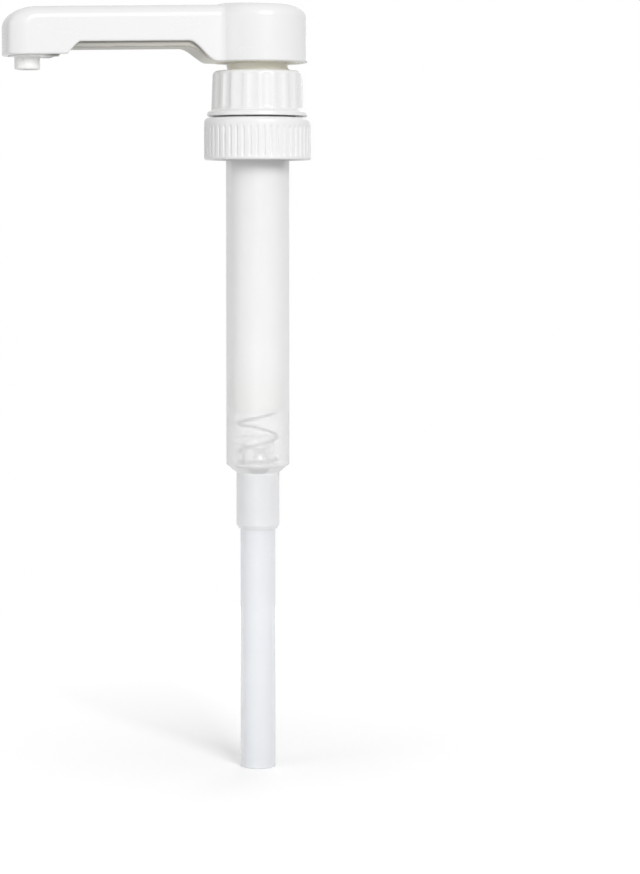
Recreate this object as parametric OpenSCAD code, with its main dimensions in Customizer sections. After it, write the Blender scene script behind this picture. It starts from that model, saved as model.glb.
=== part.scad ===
// Condiment pump for a screw-neck jug: a long lever head with its spout, a hollow
// piston stem, a barrel with two ball valves, and a dip tube.
// Millimetres. The origin lies on the pump's axis, in the plane where the jug's rim
// meets the neck gasket. +Z runs up the axis and the spout points along -X.

/* [Barrel] */
// Bore that the piston cup slides in
barrel_bore = 22; // [20:0.1:24]
// Wall of the barrel
barrel_wall = 1.6; // [1.4:0.1:2]
// Length of the full-width barrel below the jug's rim
barrel_drop = 131.4; // [124:0.2:150]
// Height of the cone from the barrel to its tube neck
shoulder_h = 3.2; // [2.8:0.1:4]
// Depth of the barrel's floor above the tube neck
floor_depth = 1.2; // [1:0.1:1.6]
// Length of the neck that grips the dip tube
tube_neck_len = 22.6; // [18:0.2:30]
// Wall of the tube neck
tube_neck_wall = 1.6; // [1.2:0.1:2]
// Chamfer at the tube neck's end
tube_neck_chamfer = 1; // [0.5:0.1:1.4]
// Thickness of the web under the inlet ball's seat
seat_web = 2.5; // [2:0.1:4]
// Diameter of the flange that rests on the neck gasket
barrel_flange_d = 34.4; // [33:0.1:35]
// Thickness of that flange
barrel_flange_t = 2.2; // [1.6:0.1:3]

/* [Dip tube] */
// Outside diameter of the dip tube
dip_tube_d = 14; // [12:0.1:15]
// Wall of the dip tube
dip_tube_wall = 1.2; // [1:0.1:1.6]
// Length of the dip tube below the barrel's neck
dip_tube_free = 95.9; // [60:0.5:180]

/* [Closure] */
// Outside diameter of the jug closure
closure_d = 42.6; // [42:0.1:45]
// Height of the closure
closure_h = 16.8; // [16:0.1:20]
// Thickness of the closure's top plate
closure_top_t = 2.6; // [2:0.1:3]
// Root diameter of the closure's jug thread
jug_thread_d = 38.1; // [37.9:0.05:38.6]
// Height of the jug thread's ridge
jug_thread_depth = 1.1; // [0.8:0.05:1.3]
// Pitch of the jug thread
jug_thread_pitch = 4.23; // [4:0.01:4.4]
// Turns of the jug thread
jug_thread_turns = 1.3; // [1:0.05:1.5]
// Number of grip ribs round the closure
closure_ribs = 48; // [36:60]
// Depth of the grooves between the ribs
closure_rib_depth = 0.45; // [0.2:0.05:0.6]
// Radius on the closure's top edge
closure_edge_r = 2; // [1:0.1:2.4]
// Thickness of the neck gasket
gasket_t = 1.8; // [1:0.1:2.5]

/* [Lock collar] */
// Height of the lock collar
collar_h = 18; // [17.6:0.1:22]
// Diameter of the collar just above its flange
collar_base_d = 36.8; // [36:0.1:39]
// Diameter of the collar at its top
collar_top_d = 35.6; // [34.6:0.1:36]
// Diameter of the collar's foot flange
collar_flange_d = 40.4; // [39.4:0.1:42]
// Thickness of the foot flange
collar_flange_t = 2; // [1.5:0.1:3]
// Number of grip flutes round the collar
collar_flutes = 20; // [16:24]
// Depth of each flute
collar_flute_depth = 0.5; // [0.2:0.05:0.8]
// Radius on the collar's top edge
collar_edge_r = 1.8; // [1:0.1:2.2]
// Gap between the closure and the collar
collar_gap = 0.6; // [0.4:0.1:1]
// Outside diameter of the barrel's collar thread
collar_thread_d = 30; // [29.4:0.1:31]
// Pitch of the collar thread
collar_thread_pitch = 3; // [2.8:0.1:3.4]
// Length of the barrel's neck inside the collar
collar_thread_len = 8.6; // [8.2:0.1:10]
// Thickness of the web that holds the guide bush down
collar_web_t = 1.6; // [1.2:0.1:2]

/* [Stem and piston] */
// Outside diameter of the piston stem
stem_d = 21; // [20:0.1:21.2]
// Bore of the piston stem
stem_bore = 17.6; // [17:0.1:17.8]
// Piston travel from the locked-down head to the top
stroke = 77.8; // [60:0.2:80]
// Gap between the stem's foot and the jug-rim plane, head down
stem_foot_drop = 110.4; // [104:0.2:112]
// Height of the piston cup
cup_h = 9.6; // [8:0.1:12]
// Height of the guide land that stops the stem at the top
land_h = 4; // [3:0.1:6]
// Length of the guide bush inside the barrel
bush_len = 7; // [5:0.1:9]

/* [Valves and spring] */
// Diameter of both check balls
ball_d = 11; // [10.6:0.1:11.2]
// Diameter of the hole under each ball
seat_hole_d = 7.4; // [6.8:0.1:7.6]
// Lift of the inlet ball
inlet_lift = 3; // [2:0.1:4]
// Lift of the outlet ball
outlet_lift = 2.5; // [1.5:0.1:3]
// Height of the outlet seat plug
outlet_seat_h = 7.5; // [6.5:0.1:9]
// Wire of the return spring
spring_wire = 1.3; // [1:0.05:1.35]
// Outside diameter of the return spring
spring_d = 16.6; // [16.4:0.1:16.8]
// Working turns of the return spring
spring_turns = 13; // [10:16]

/* [Head] */
// Diameter of the head
head_d = 40; // [36:0.2:44]
// Height of the head
head_h = 23; // [22.6:0.1:28]
// Radius on the head's top edge
head_edge_r = 5.2; // [3:0.1:7]
// Wall of the head shell
head_wall = 2; // [1.6:0.1:2.4]
// Gap from the collar's top to the head
head_gap = 3.2; // [3:0.1:5]
// Length of the lock boss inside the collar
boss_engage = 2; // [1.5:0.1:2.2]
// Root diameter of the lock boss
boss_d = 24.2; // [23.8:0.1:24.6]
// Height of the lock thread's ridge
lock_thread_depth = 0.7; // [0.5:0.05:0.8]
// Pitch of the lock thread
lock_thread_pitch = 4; // [3.6:0.1:4.2]

/* [Arm and spout] */
// Distance from the pump's axis to the nozzle's axis
spout_reach = 92.4; // [80:0.2:110]
// Length of the arm beyond the nozzle's axis
tip_beyond = 9.2; // [9:0.1:10.4]
// Width of the arm
arm_w = 22; // [21:0.1:24]
// Height of the arm's tip block
block_h = 18.6; // [18:0.1:20]
// Height of the arm's side wall along its span
arm_side_h = 13.8; // [12:0.1:14.2]
// Fall of the arm's top from the head to the tip
arm_fall = 2.4; // [1.6:0.1:2.6]
// Fall of the arm's lower edges over the same length
foot_fall = 2; // [0:0.1:2.4]
// Step from the head's top down to the arm's top
arm_step = 0.7; // [0.4:0.1:1]
// Length of the roll-over at the tip
tip_roll_len = 11; // [9:0.1:12]
// Drop of the roll-over at the tip
tip_roll_drop = 7.5; // [6:0.1:9]
// Length of the rounded plan end of the arm
tip_plan_len = 7; // [6:0.1:8]
// Radius along the arm's top edges
arm_edge_r = 4.6; // [3:0.1:5.4]
// Length of the tip block along its foot
block_len = 23.2; // [22:0.1:26]
// Depth that the duct's underside hangs below the arm's walls
duct_drop = 2.4; // [2:0.1:3.6]
// Depth of the duct's pad below the tip block
pad_drop = 0.3; // [0.2:0.1:0.8]
// Floor thickness of the duct tray
tray_t = 2; // [1.6:0.1:2.4]
// Bore of the flow channel
channel_bore = 8; // [7.6:0.1:8.4]
// Wall round the flow channel
channel_wall = 1.4; // [1.2:0.1:1.6]
// Outside diameter of the nozzle
nozzle_d = 10; // [9.4:0.1:11]
// Bore of the nozzle
nozzle_bore = 7; // [6:0.1:7.2]
// Length of the nozzle below the duct's pad
nozzle_len = 5; // [4:0.1:9]

/* [Hidden] */
$fn = 64;

over = 1;              // how far a cut runs past the face that it opens
bite = 0.3;            // how far a thread ridge is rooted in its wall
seat_play = 0.02;      // a ball's play above its seat
slide_play = 0.05;     // radial play of a running fit
closure_play = 0.2;    // axial play of the turning closure
swivel_play = 0.3;     // radial play of the closure on the barrel's neck
thread_play = 0.2;     // radial play between mated threads
lock_play = 0.4;       // radial play of the lock boss in the collar
gasket_d = barrel_flange_d + 0.6;     // the gasket stands a little proud of the flange
jug_seal_d = barrel_flange_d + 1.2;   // the closure's bore round the gasket and flange

// Heights, from the jug-rim plane
z_flange = gasket_t;
z_flange_top = z_flange + barrel_flange_t;
z_plate = z_flange_top + closure_play;
z_closure_top = z_plate + closure_top_t;
z_closure_foot = z_closure_top - closure_h;
z_collar = z_closure_top + collar_gap;
z_collar_top = z_collar + collar_h;
z_neck_top = z_collar + collar_thread_len;
bush_flange_t = 1.2;
z_web = z_neck_top + bush_flange_t;
z_web_top = z_web + collar_web_t;
z_bush_foot = z_neck_top - bush_len;
z_head = z_collar_top + head_gap;
z_boss_foot = z_collar_top - boss_engage;
z_head_top = z_head + head_h;
z_shoulder = -barrel_drop;
z_floor = z_shoulder - floor_depth;
z_tube_neck = z_shoulder - shoulder_h;
z_tube_neck_foot = z_tube_neck - tube_neck_len;
z_dip_foot = z_tube_neck_foot - dip_tube_free;

// Radii
barrel_r = barrel_bore / 2 + barrel_wall;
tube_neck_r = dip_tube_d / 2 + tube_neck_wall;
neck_r = collar_thread_d / 2;
collar_thread_depth = 1;
collar_thread_turns = 1.9;
collar_grip_turns = 1.3;
collar_thread_rise = 1.4;
collar_ridge_root_w = 1.6;
collar_ridge_crest_w = 0.6;
lock_ridge_root_w = 1.6;
lock_ridge_crest_w = 0.7;
neck_root_r = neck_r - collar_thread_depth;
bush_r = neck_root_r - barrel_wall;
collar_bore_r = neck_r + thread_play;
boss_r = boss_d / 2;
lock_bore_r = boss_r + lock_thread_depth + lock_play;

// Valves: a ball touches its 45 degree cone where the cone's radius is ball radius / sqrt 2
ball_r = ball_d / 2;
seat_r = seat_hole_d / 2;
ball_touch_r = ball_r * sqrt(0.5);
ball_above_hole = 2 * ball_touch_r - seat_r + seat_play;
cage_play = 0.25;
seat_mouth_r = ball_r + 0.1;
seat_cone_h = seat_mouth_r - seat_r;
cage_bar_t = 1.6;

z_inlet_hole = z_floor - seat_cone_h;
z_inlet_ball = z_inlet_hole + ball_above_hole;
z_inlet_web_foot = z_inlet_hole - seat_web;
cage_flange_t = 1;
spring_r = spring_d / 2 - spring_wire / 2;
inlet_cage_r = spring_d / 2 - spring_wire - 0.1;
inlet_cage_flange_r = spring_d / 2 + 0.6;
z_inlet_bar = z_inlet_ball + ball_r + inlet_lift + 0.1;

// Wiper in the bush's mouth
wiper_h = 2.4;
wiper_t = 1.2;
wiper_r = stem_d / 2 + wiper_t;

// Stem, measured up from its foot
z_stem_foot = -stem_foot_drop;
ring_t = 1.4;
ring_groove_depth = 0.5;
ring_lip = 0.8;
cup_seat_depth = 0.6;
cup_play = 0.1;
cup_seat_r = stem_d / 2 - cup_seat_depth;
z_ring = z_stem_foot + ring_lip;
z_cup = z_ring + ring_t + cup_play;
z_cup_shoulder = z_cup + cup_h + cup_play;
z_land_top = z_bush_foot - stroke;
land_r = barrel_bore / 2 - 2 * slide_play;
stem_socket_len = 11;
z_stem_top = z_boss_foot + stem_socket_len;
outlet_cage_drop = 0.7;
z_cage_top = z_stem_top - outlet_cage_drop;
z_outlet_bar = z_cage_top - cage_bar_t;
z_outlet_ball = z_outlet_bar - 0.1 - outlet_lift - ball_r;
z_outlet_hole = z_outlet_ball - ball_above_hole;
z_outlet_seat_top = z_outlet_hole + seat_cone_h;
z_outlet_seat = z_outlet_seat_top - outlet_seat_h;

// Return spring
z_spring = z_floor + cage_flange_t;
spring_closed_pitch = spring_wire + 0.15;
spring_start = 52;

// Head, arm and duct
tip_x = -(spout_reach + tip_beyond);
arm_half = arm_w / 2;
tip_plan_power = 2.6;  // 2 is a half ellipse, and more is squarer
arm_root_x = -head_d / 2;
z_arm_root = z_head_top - arm_step;
z_tip_top = z_arm_root - arm_fall;
z_block_foot = z_tip_top - block_h;
z_side_foot = z_tip_top - arm_side_h;
block_x = tip_x + block_len;
block_slope_run = 4.6;
foot_lean = foot_fall / (arm_root_x - tip_x);
sweep_inset = 1.3;     // how far inside the head's side the arm's foot meets it
sweep_end_x = -head_d / 2 + sweep_inset;
sweep_run = 11.8;
sweep_start_x = sweep_end_x - sweep_run;
pad_fore = 6.6;        // the pad's reach past the nozzle's axis, towards the tip
pad_aft = 10;          // the pad's reach past the nozzle's axis, towards the head
pad_rise_run = 4.4;
pad_x = -spout_reach - pad_fore;
pad_end_x = -spout_reach + pad_aft;
z_pad = z_block_foot - pad_drop;
z_duct = z_side_foot - duct_drop;
tray_gap = 0.5;        // gap between the duct's rims and the arm's walls
tray_half = arm_half - head_wall - tray_gap;
tray_rim_h = 5;
tray_rim_t = 1.6;
channel_r = channel_bore / 2;
channel_tube_r = channel_r + channel_wall;
z_channel_tip = z_duct + channel_tube_r;
z_channel = z_channel_tip - foot_lean * tip_x;
channel_end_gap = 4.5;
nozzle_waist = 0.5;    // how much slimmer the nozzle is above the pad
channel_end_x = tip_x + channel_end_gap;
tower_wall = 3.1;
tower_r = stem_d / 2 + tower_wall;
chamber_play = 0.4;
z_chamber_top = z_channel + channel_r + chamber_play;
z_tower_top = z_chamber_top + channel_wall;
o_ring_wire = 1.5;
o_ring_groove_h = 2.2;
o_ring_rise = 2.4;
z_o_ring = z_head + o_ring_rise;
plug_depth = 1.2;
plug_cap_t = 0.8;
plug_lip = 0.3;
z_nozzle_foot = z_pad - nozzle_len;

milky = [0.93, 0.94, 0.95];
natural = [0.95, 0.94, 0.91];
white = [0.97, 0.97, 0.97];

// ---------------------------------------------------------------- shared shapes

// A ring about Z from z0 to z1, between the radii r0 and r1
module ring(r0, r1, z0, z1) {
    translate([0, 0, z0]) difference() {
        cylinder(r = r1, h = z1 - z0);
        translate([0, 0, -over]) cylinder(r = r0, h = z1 - z0 + 2 * over);
    }
}

// The 2D corner waste outside a radius e, for a corner at (r, z); up is 1 or -1
module corner_waste(r, z, e, up = 1) {
    translate([r, z]) scale_y(up) translate([-e, -e]) difference() {
        square([e + over, e + over]);
        circle(r = e);
    }
}

module scale_y(up) {
    if (up > 0) children();
    else mirror([0, 1]) children();
}

// Points of one thread section at step i of n: root side first, then the crest
function thread_section(root_r, crest_r, z0, pitch, turns, start, root_w, crest_w, n, i) =
    let (f = min(1, 0.15 + 4 * min(i, n - i) / n),
         r = root_r + (crest_r - root_r) * f,
         a = start + 360 * turns * i / n,
         z = z0 + pitch * turns * i / n)
    [[root_r * cos(a), root_r * sin(a), z - root_w / 2],
     [r * cos(a), r * sin(a), z - crest_w / 2],
     [r * cos(a), r * sin(a), z + crest_w / 2],
     [root_r * cos(a), root_r * sin(a), z + root_w / 2]];

// Faces that join successive rings of m points each, with both ends closed.
// out is 1 when each ring runs clockwise seen from the last one, or -1.
function loft_faces(n, m, out = 1) =
    let (flip = function (f) out > 0 ? f : [for (k = [len(f) - 1:-1:0]) f[k]])
    concat(
        [flip([for (k = [m - 1:-1:0]) k])],
        [for (i = [0:n - 2], k = [0:m - 1]) let (b = i * m, c = b + m, j = (k + 1) % m)
            each [flip([b + k, b + j, c + j]), flip([b + k, c + j, c + k])]],
        [flip([for (k = [0:m - 1]) (n - 1) * m + k])]);

// A helical ridge that fades in and out; it is rooted at root_r and crests at crest_r
module thread_ridge(root_r, crest_r, z0, pitch, turns, root_w, crest_w, start = 0) {
    n = ceil(20 * turns);
    points = [for (i = [0:n])
        each thread_section(root_r, crest_r, z0, pitch, turns, start, root_w, crest_w, n, i)];
    polyhedron(points, loft_faces(n + 1, 4, crest_r > root_r ? 1 : -1), convexity = 8);
}

// Grip grooves cut into a round wall of radius r
module grip_grooves(count, r, depth, groove_r, z0, z1) {
    for (i = [0:count - 1])
        rotate([0, 0, (i + 0.5) * 360 / count])
            translate([r + groove_r - depth, 0, z0])
                cylinder(r = groove_r, h = z1 - z0);
}

// ---------------------------------------------------------------- barrel group

module barrel() {
    floor_play = 0.3;
    floor_chamfer = 1.8;
    color(milky) union() {
        rotate_extrude() polygon([
            [barrel_bore / 2, z_bush_foot],
            [bush_r, z_bush_foot],
            [bush_r, z_neck_top],
            [neck_root_r, z_neck_top],
            [neck_root_r, z_collar],
            [neck_r, z_collar],
            [neck_r, z_flange_top],
            [barrel_flange_d / 2, z_flange_top],
            [barrel_flange_d / 2, z_flange],
            [barrel_r, z_flange],
            [barrel_r, z_shoulder],
            [tube_neck_r, z_tube_neck],
            [tube_neck_r, z_tube_neck_foot + 1.6 * tube_neck_chamfer],
            [tube_neck_r - tube_neck_chamfer, z_tube_neck_foot],
            [dip_tube_d / 2, z_tube_neck_foot],
            [dip_tube_d / 2, z_inlet_web_foot],
            [seat_r, z_inlet_web_foot],
            [seat_r, z_inlet_hole],
            [seat_mouth_r, z_floor],
            [inlet_cage_flange_r + floor_play, z_floor],
            [barrel_bore / 2, z_floor + floor_chamfer]]);
        thread_ridge(neck_root_r - bite, neck_r, z_collar + collar_thread_rise, collar_thread_pitch,
                     collar_thread_turns, collar_ridge_root_w, collar_ridge_crest_w);
    }
}

// Cap over the inlet ball: four windows, four holes in its roof, and a foot for the spring
module inlet_cage() {
    inner_r = ball_r + cage_play;
    window_w = 7;
    sill_h = 0.6;
    window_foot = z_floor + cage_flange_t + sill_h;
    hole_r = 1.7;
    color(natural) difference() {
        union() {
            translate([0, 0, z_floor]) cylinder(r = inlet_cage_flange_r, h = cage_flange_t);
            translate([0, 0, z_floor]) cylinder(r = inlet_cage_r, h = z_inlet_bar + cage_bar_t - z_floor);
        }
        translate([0, 0, z_floor - over]) cylinder(r = inner_r, h = z_inlet_bar - z_floor + over);
        for (i = [0:1]) rotate([0, 0, 90 * i])
            translate([-spring_d, -window_w / 2, window_foot])
                cube([2 * spring_d, window_w, z_inlet_bar - sill_h - window_foot]);
        for (i = [0:3]) rotate([0, 0, 45 + 90 * i])
            translate([inlet_cage_r / 2, 0, z_inlet_bar - over]) cylinder(r = hole_r, h = cage_bar_t + 2 * over);
    }
}

module inlet_ball() {
    color("silver") translate([0, 0, z_inlet_ball]) sphere(r = ball_r);
}

module dip_tube() {
    color([0.9, 0.93, 0.97])
        ring(dip_tube_d / 2 - dip_tube_wall, dip_tube_d / 2, z_dip_foot, z_inlet_web_foot);
}

module neck_gasket() {
    color([0.88, 0.88, 0.86]) ring(barrel_r, gasket_d / 2, 0, gasket_t);
}

// Flanged guide that centres the stem in the barrel's mouth
module guide_bush() {
    color(natural) rotate_extrude() polygon([
        [stem_d / 2 + slide_play, z_bush_foot],
        [bush_r, z_bush_foot],
        [bush_r, z_neck_top],
        [neck_root_r, z_neck_top],
        [neck_root_r, z_web],
        [wiper_r, z_web],
        [wiper_r, z_web - wiper_h],
        [stem_d / 2 + slide_play, z_web - wiper_h]]);
}

// Soft ring with two lips that cleans the stem on its way up
module stem_wiper() {
    lip_r = stem_d / 2 + 0.03;
    relief_r = stem_d / 2 + 0.6;
    lip_h = 0.3;
    color([0.8, 0.82, 0.84]) rotate_extrude() polygon([
        [wiper_r, z_web - wiper_h],
        [wiper_r, z_web],
        [relief_r, z_web],
        [lip_r, z_web - lip_h],
        [relief_r, z_web - wiper_h / 2],
        [lip_r, z_web - wiper_h + lip_h],
        [relief_r, z_web - wiper_h]]);
}

module lock_collar() {
    flute_r = 5;
    flute_foot_gap = 0.6;
    flute_turn = 6.25;
    mouth_chamfer = 0.8;
    web_bore_r = stem_d / 2 + 0.7;
    grip_thread_r = neck_root_r + thread_play;
    lock_thread_r = boss_r + 0.35;
    lock_grip_rise = 1.1;
    lock_grip_turns = 0.55;
    color(natural) union() {
        difference() {
            rotate_extrude() difference() {
                polygon([
                    [collar_bore_r, z_collar],
                    [collar_flange_d / 2, z_collar],
                    [collar_flange_d / 2, z_collar + collar_flange_t],
                    [collar_base_d / 2, z_collar + collar_flange_t],
                    [collar_top_d / 2, z_collar_top],
                    [lock_bore_r + mouth_chamfer, z_collar_top],
                    [lock_bore_r, z_collar_top - mouth_chamfer],
                    [lock_bore_r, z_web_top],
                    [web_bore_r, z_web_top],
                    [web_bore_r, z_web],
                    [collar_bore_r, z_web]]);
                corner_waste(collar_top_d / 2, z_collar_top, collar_edge_r);
            }
            rotate([0, 0, flute_turn])
                grip_grooves(collar_flutes, (collar_base_d + collar_top_d) / 4, collar_flute_depth, flute_r,
                             z_collar + collar_flange_t + flute_foot_gap, z_collar_top - collar_edge_r * 0.6);
        }
        thread_ridge(collar_bore_r + bite, grip_thread_r, z_collar + collar_thread_rise + collar_thread_pitch / 2,
                     collar_thread_pitch, collar_grip_turns, collar_ridge_root_w, collar_ridge_crest_w);
        thread_ridge(lock_bore_r + bite, lock_thread_r, z_web_top + lock_grip_rise, lock_thread_pitch,
                     lock_grip_turns, lock_ridge_root_w, lock_ridge_crest_w);
    }
}

// ---------------------------------------------------------------- closure

module closure_cap() {
    seal_lead = 0.6;
    foot_edge_r = 0.8;
    groove_r = 0.95;
    groove_foot_gap = 1.3;
    groove_top_gap = 1.2;
    thread_rise = 1.9;
    ridge_root_w = 2.2;
    ridge_crest_w = 0.9;
    color(white) union() {
        difference() {
            rotate_extrude() difference() {
                polygon([
                    [neck_r + swivel_play, z_closure_top],
                    [neck_r + swivel_play, z_plate],
                    [jug_seal_d / 2, z_plate],
                    [jug_seal_d / 2, seal_lead],
                    [jug_thread_d / 2, 0],
                    [jug_thread_d / 2, z_closure_foot],
                    [closure_d / 2, z_closure_foot],
                    [closure_d / 2, z_closure_top]]);
                corner_waste(closure_d / 2, z_closure_top, closure_edge_r);
                corner_waste(closure_d / 2, z_closure_foot, foot_edge_r, -1);
            }
            grip_grooves(closure_ribs, closure_d / 2, closure_rib_depth, groove_r,
                         z_closure_foot + groove_foot_gap, z_closure_top - closure_edge_r - groove_top_gap);
        }
        thread_ridge(jug_thread_d / 2 + bite, jug_thread_d / 2 - jug_thread_depth, z_closure_foot + thread_rise,
                     jug_thread_pitch, jug_thread_turns, ridge_root_w, ridge_crest_w);
    }
}

// ---------------------------------------------------------------- piston and stem

// Two-lip cup that seals on the bore, held between the stem's shoulder and the snap ring
module piston_cup() {
    lip_r = barrel_bore / 2 - slide_play;
    lip_h = 2.2;
    waist_r = lip_r - 0.35;
    color(natural) rotate_extrude() polygon([
        [cup_seat_r + slide_play, z_cup],
        [lip_r, z_cup],
        [waist_r, z_cup + lip_h],
        [waist_r, z_cup + cup_h - lip_h],
        [lip_r, z_cup + cup_h],
        [cup_seat_r + slide_play, z_cup + cup_h]]);
}

module piston_snap_ring() {
    ring_gap = 2;
    color("gainsboro") difference() {
        ring(cup_seat_r - ring_groove_depth, stem_d / 2, z_ring, z_ring + ring_t);
        translate([0, -ring_gap / 2, z_ring - over]) cube([stem_d, ring_gap, ring_t + 2 * over]);
    }
}

module piston_stem() {
    color(white) rotate_extrude() polygon([
        [stem_bore / 2, z_stem_foot],
        [cup_seat_r, z_stem_foot],
        [cup_seat_r, z_ring],
        [cup_seat_r - ring_groove_depth, z_ring],
        [cup_seat_r - ring_groove_depth, z_ring + ring_t],
        [cup_seat_r, z_ring + ring_t],
        [cup_seat_r, z_cup_shoulder],
        [stem_d / 2, z_cup_shoulder],
        [stem_d / 2, z_land_top - land_h],
        [land_r, z_land_top - land_h],
        [land_r, z_land_top],
        [stem_d / 2, z_land_top],
        [stem_d / 2, z_stem_top],
        [stem_bore / 2, z_stem_top]]);
}

module outlet_seat() {
    color(natural) rotate_extrude() polygon([
        [seat_r, z_outlet_seat],
        [stem_bore / 2, z_outlet_seat],
        [stem_bore / 2, z_outlet_seat_top],
        [seat_mouth_r, z_outlet_seat_top],
        [seat_r, z_outlet_hole]]);
}

module outlet_ball() {
    color("silver") translate([0, 0, z_outlet_ball]) sphere(r = ball_r);
}

// Ring with four guide ribs and a cross that keeps the ball over its seat
module outlet_cage() {
    wall = 1.2;
    rib_t = 1.4;
    bar_w = 2.2;
    rooted_r = stem_bore / 2 - wall / 2;
    color(natural) union() {
        ring(stem_bore / 2 - wall, stem_bore / 2, z_outlet_seat_top, z_cage_top);
        intersection() {
            ring(ball_r + cage_play, rooted_r, z_outlet_seat_top, z_cage_top);
            for (i = [0:3]) rotate([0, 0, 90 * i])
                translate([0, -rib_t / 2, z_outlet_seat_top])
                    cube([stem_bore, rib_t, z_cage_top - z_outlet_seat_top]);
        }
        intersection() {
            translate([0, 0, z_outlet_bar]) cylinder(r = rooted_r, h = cage_bar_t);
            for (i = [0:1]) rotate([0, 0, 90 * i])
                translate([-stem_bore, -bar_w / 2, z_outlet_bar - over])
                    cube([2 * stem_bore, bar_w, cage_bar_t + 2 * over]);
        }
    }
}

// Height of the spring's wire centre after t turns: a closed end, the working turns, a closed end
function spring_z(t) =
    let (z0 = z_spring + spring_wire / 2 + 0.05,
         z1 = z_outlet_seat - spring_wire / 2 - 0.05,
         pitch = (z1 - z0 - 2 * spring_closed_pitch) / spring_turns)
    t < 1 ? z0 + spring_closed_pitch * t
    : t > spring_turns + 1 ? z1 - spring_closed_pitch * (spring_turns + 2 - t)
    : z0 + spring_closed_pitch + pitch * (t - 1);

module return_spring() {
    sides = 6;
    per_turn = 14;
    n = per_turn * (spring_turns + 2);
    points = [for (i = [0:n], k = [0:sides - 1])
        let (t = i / per_turn,
             a = spring_start + 360 * t,
             b = 360 * k / sides,
             r = spring_r + spring_wire / 2 * cos(b))
        [r * cos(a), r * sin(a), spring_z(t) + spring_wire / 2 * sin(b)]];
    color("lightsteelblue") polyhedron(points, loft_faces(n + 1, sides, 1), convexity = 20);
}

// ---------------------------------------------------------------- head

// Rise of the arm's lower edges from the tip to x
function foot_rise(x) = foot_lean * (x - tip_x);

// A low foot that ramps up to a high one at x0, runs on, and sweeps down to the head's foot at x1
function stepped_foot(x, low, high, x0, run, x1) =
    x < x0 ? low + foot_rise(x)
    : x < x0 + run ? low + (high - low) * (x - x0) / run + foot_rise(x)
    : x < x1 - sweep_run ? high + foot_rise(x)
    : x < x1 ? z_head + (high + foot_rise(x) - z_head) * (1 + cos(180 * (x - x1 + sweep_run) / sweep_run)) / 2
    : z_head;

// Lower edge of the arm's side wall at x
function side_foot(x) =
    stepped_foot(x, z_block_foot, z_side_foot, block_x, block_slope_run, sweep_end_x);

// Underside of the duct at x: level round the nozzle, then along the arm's leaning foot
function duct_foot(x) =
    let (run = stepped_foot(x, z_duct, z_duct, pad_end_x, pad_rise_run, sweep_end_x),
         rise = min(1, max(0, (x - pad_end_x) / pad_rise_run)))
    z_pad + (run - z_pad) * rise;

// Top of the arm along its span, before the tip rolls over
function arm_top(x) = z_arm_root - arm_fall * (arm_root_x - x) / (arm_root_x - tip_x);

// Half width and top of a body whose tip is at tip_x + inset, with its walls set in by inset
function plan_half(u, inset) =
    u >= tip_plan_len ? arm_half - inset
    : (arm_half - inset) * pow(1 - pow(1 - u / tip_plan_len, tip_plan_power), 1 / tip_plan_power);
function roll_drop(u) =
    u >= tip_roll_len ? 0 : tip_roll_drop * (1 - sqrt(1 - pow(1 - u / tip_roll_len, 2)));

// One cross-section of the arm: foot, rounded shoulder, flat top, rounded shoulder, foot
function arm_section(x, inset, foot) =
    let (u = x - tip_x - inset,
         w = plan_half(u, inset),
         top = arm_top(x) - inset - roll_drop(u),
         e = min(arm_edge_r - inset / 2, 0.96 * w))
    concat(
        [[x, -w, foot]],
        [for (k = [0:4]) [x, -w + e * (1 - cos(22.5 * k)), top - e * (1 - sin(22.5 * k))]],
        [for (k = [4:-1:0]) [x, w - e * (1 - cos(22.5 * k)), top - e * (1 - sin(22.5 * k))]],
        [[x, w, foot]]);

// Stations along the arm: close together round the tip and along the sweep into the head
function arm_stations(inset) =
    concat(
        [for (k = [1:10]) tip_x + inset + tip_plan_len * (1 - cos(90 * k / 10))],
        [block_x, block_x + block_slope_run, (block_x + sweep_start_x) / 2],
        [for (k = [0:8]) sweep_start_x + sweep_run * k / 8],
        [-head_d / 4]);

module arm_body(inset) {
    xs = arm_stations(inset);
    points = [for (x = xs) each arm_section(x, inset, inset > 0 ? z_head - 2 * over : side_foot(x))];
    polyhedron(points, loft_faces(len(xs), 12, 1), convexity = 4);
}

module head_body(inset) {
    r = head_d / 2 - inset;
    top = z_head_top - inset;
    foot = inset > 0 ? z_head - over : z_head;
    rotate_extrude() difference() {
        translate([0, foot]) square([r, top - foot]);
        corner_waste(r, top, head_edge_r - inset);
    }
}

module head_shell() {
    color(white) difference() {
        union() {
            arm_body(0);
            head_body(0);
        }
        arm_body(head_wall);
        head_body(head_wall);
    }
}

// Side outline of the duct's floor, with its thickness measured upward
module duct_floor_outline() {
    n = 10;
    xs = concat(
        [pad_x, pad_end_x, pad_end_x + pad_rise_run],
        [for (k = [0:n]) sweep_start_x + sweep_run * k / n],
        [0]);
    polygon(concat(
        [for (x = xs) [x, duct_foot(x)]],
        [for (k = [len(xs) - 1:-1:0]) [xs[k], duct_foot(xs[k]) + tray_t]]));
}

// A side outline in X and Z, drawn out to the half width either side of the arm's middle
module across(half) {
    rotate([90, 0, 0]) translate([0, 0, -half]) linear_extrude(height = 2 * half) children();
}

module duct_rim_outline() {
    n = 8;
    rim_end_x = -9.5;
    xs = concat(
        [pad_end_x, pad_end_x + pad_rise_run],
        [for (k = [0:n]) sweep_start_x + sweep_run * k / n],
        [rim_end_x]);
    polygon(concat(
        [for (x = xs) [x, duct_foot(x) + tray_t / 2]],
        [for (k = [len(xs) - 1:-1:0]) [xs[k], z_duct + foot_rise(xs[k]) + tray_t + tray_rim_h]]));
}

// A round body along the channel's leaning axis, from end_x to x = end_x + len
module channel_body(r, end_x, len) {
    translate([end_x, 0, z_channel + foot_lean * end_x]) rotate([0, 90 - atan(foot_lean), 0])
        cylinder(r = r, h = len);
}

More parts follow.
